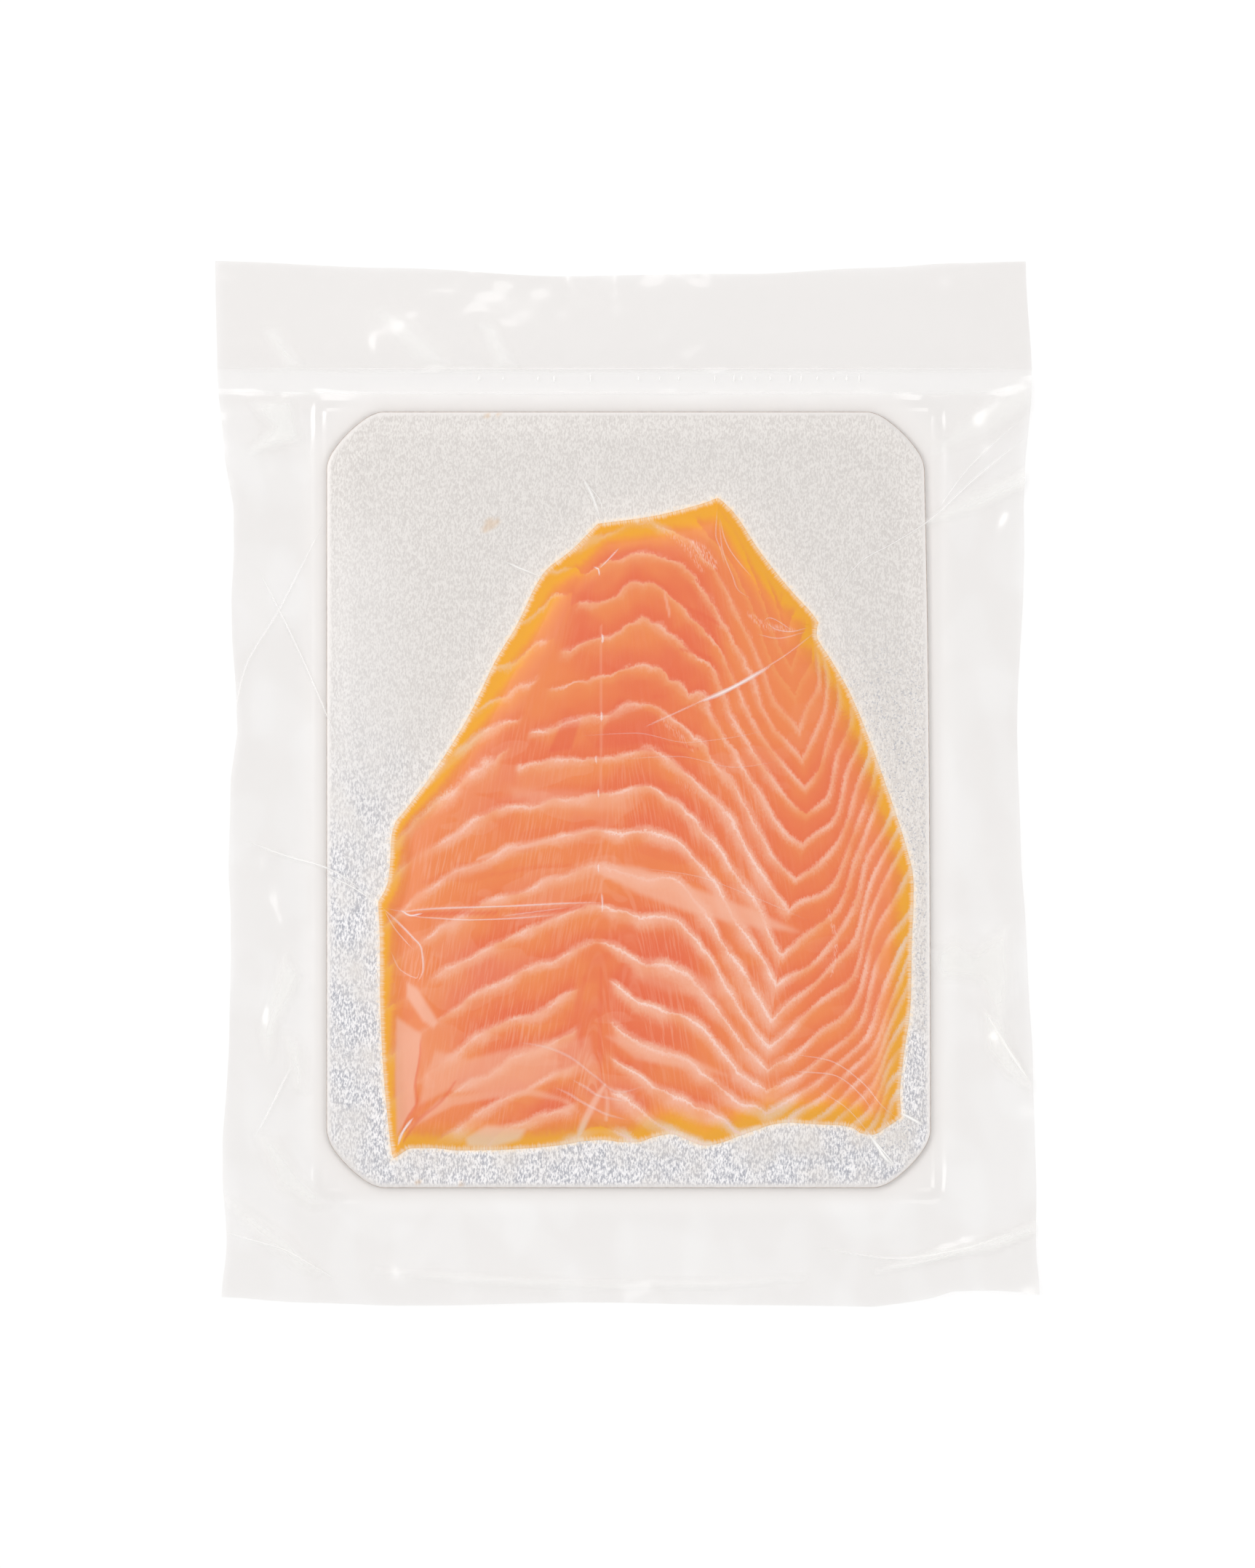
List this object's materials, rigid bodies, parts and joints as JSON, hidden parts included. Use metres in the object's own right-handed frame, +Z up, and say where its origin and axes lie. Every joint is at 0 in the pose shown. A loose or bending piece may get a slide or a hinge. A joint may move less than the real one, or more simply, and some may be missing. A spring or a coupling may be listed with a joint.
{
  "type": "pack of smoked salmon",
  "caption": "Flat clear vacuum pouch holding a stack of smoked salmon slices on a silver foil board, with a sealed band and a loose flap at the top.",
  "frame": {"origin": "under the middle of the pouch, on the surface that the pack lies on", "axes": "+Z up through the fish side, +Y along the length towards the open flap, +X to the right as seen from above"},
  "size_m": [0.1986, 0.252, 0.0083],
  "materials": {
    "film": "clear thin laminate film, glossy, soft creases",
    "foil": "satin silver foil laminated on card, fine embossed grain",
    "salmon": "moist raw smoked fish, satin, coral orange with pale fat lines"
  },
  "bodies": {
    "root": {"film_bag": "film", "foil_board": "foil", "salmon": "salmon"}
  },
  "joints": []
}
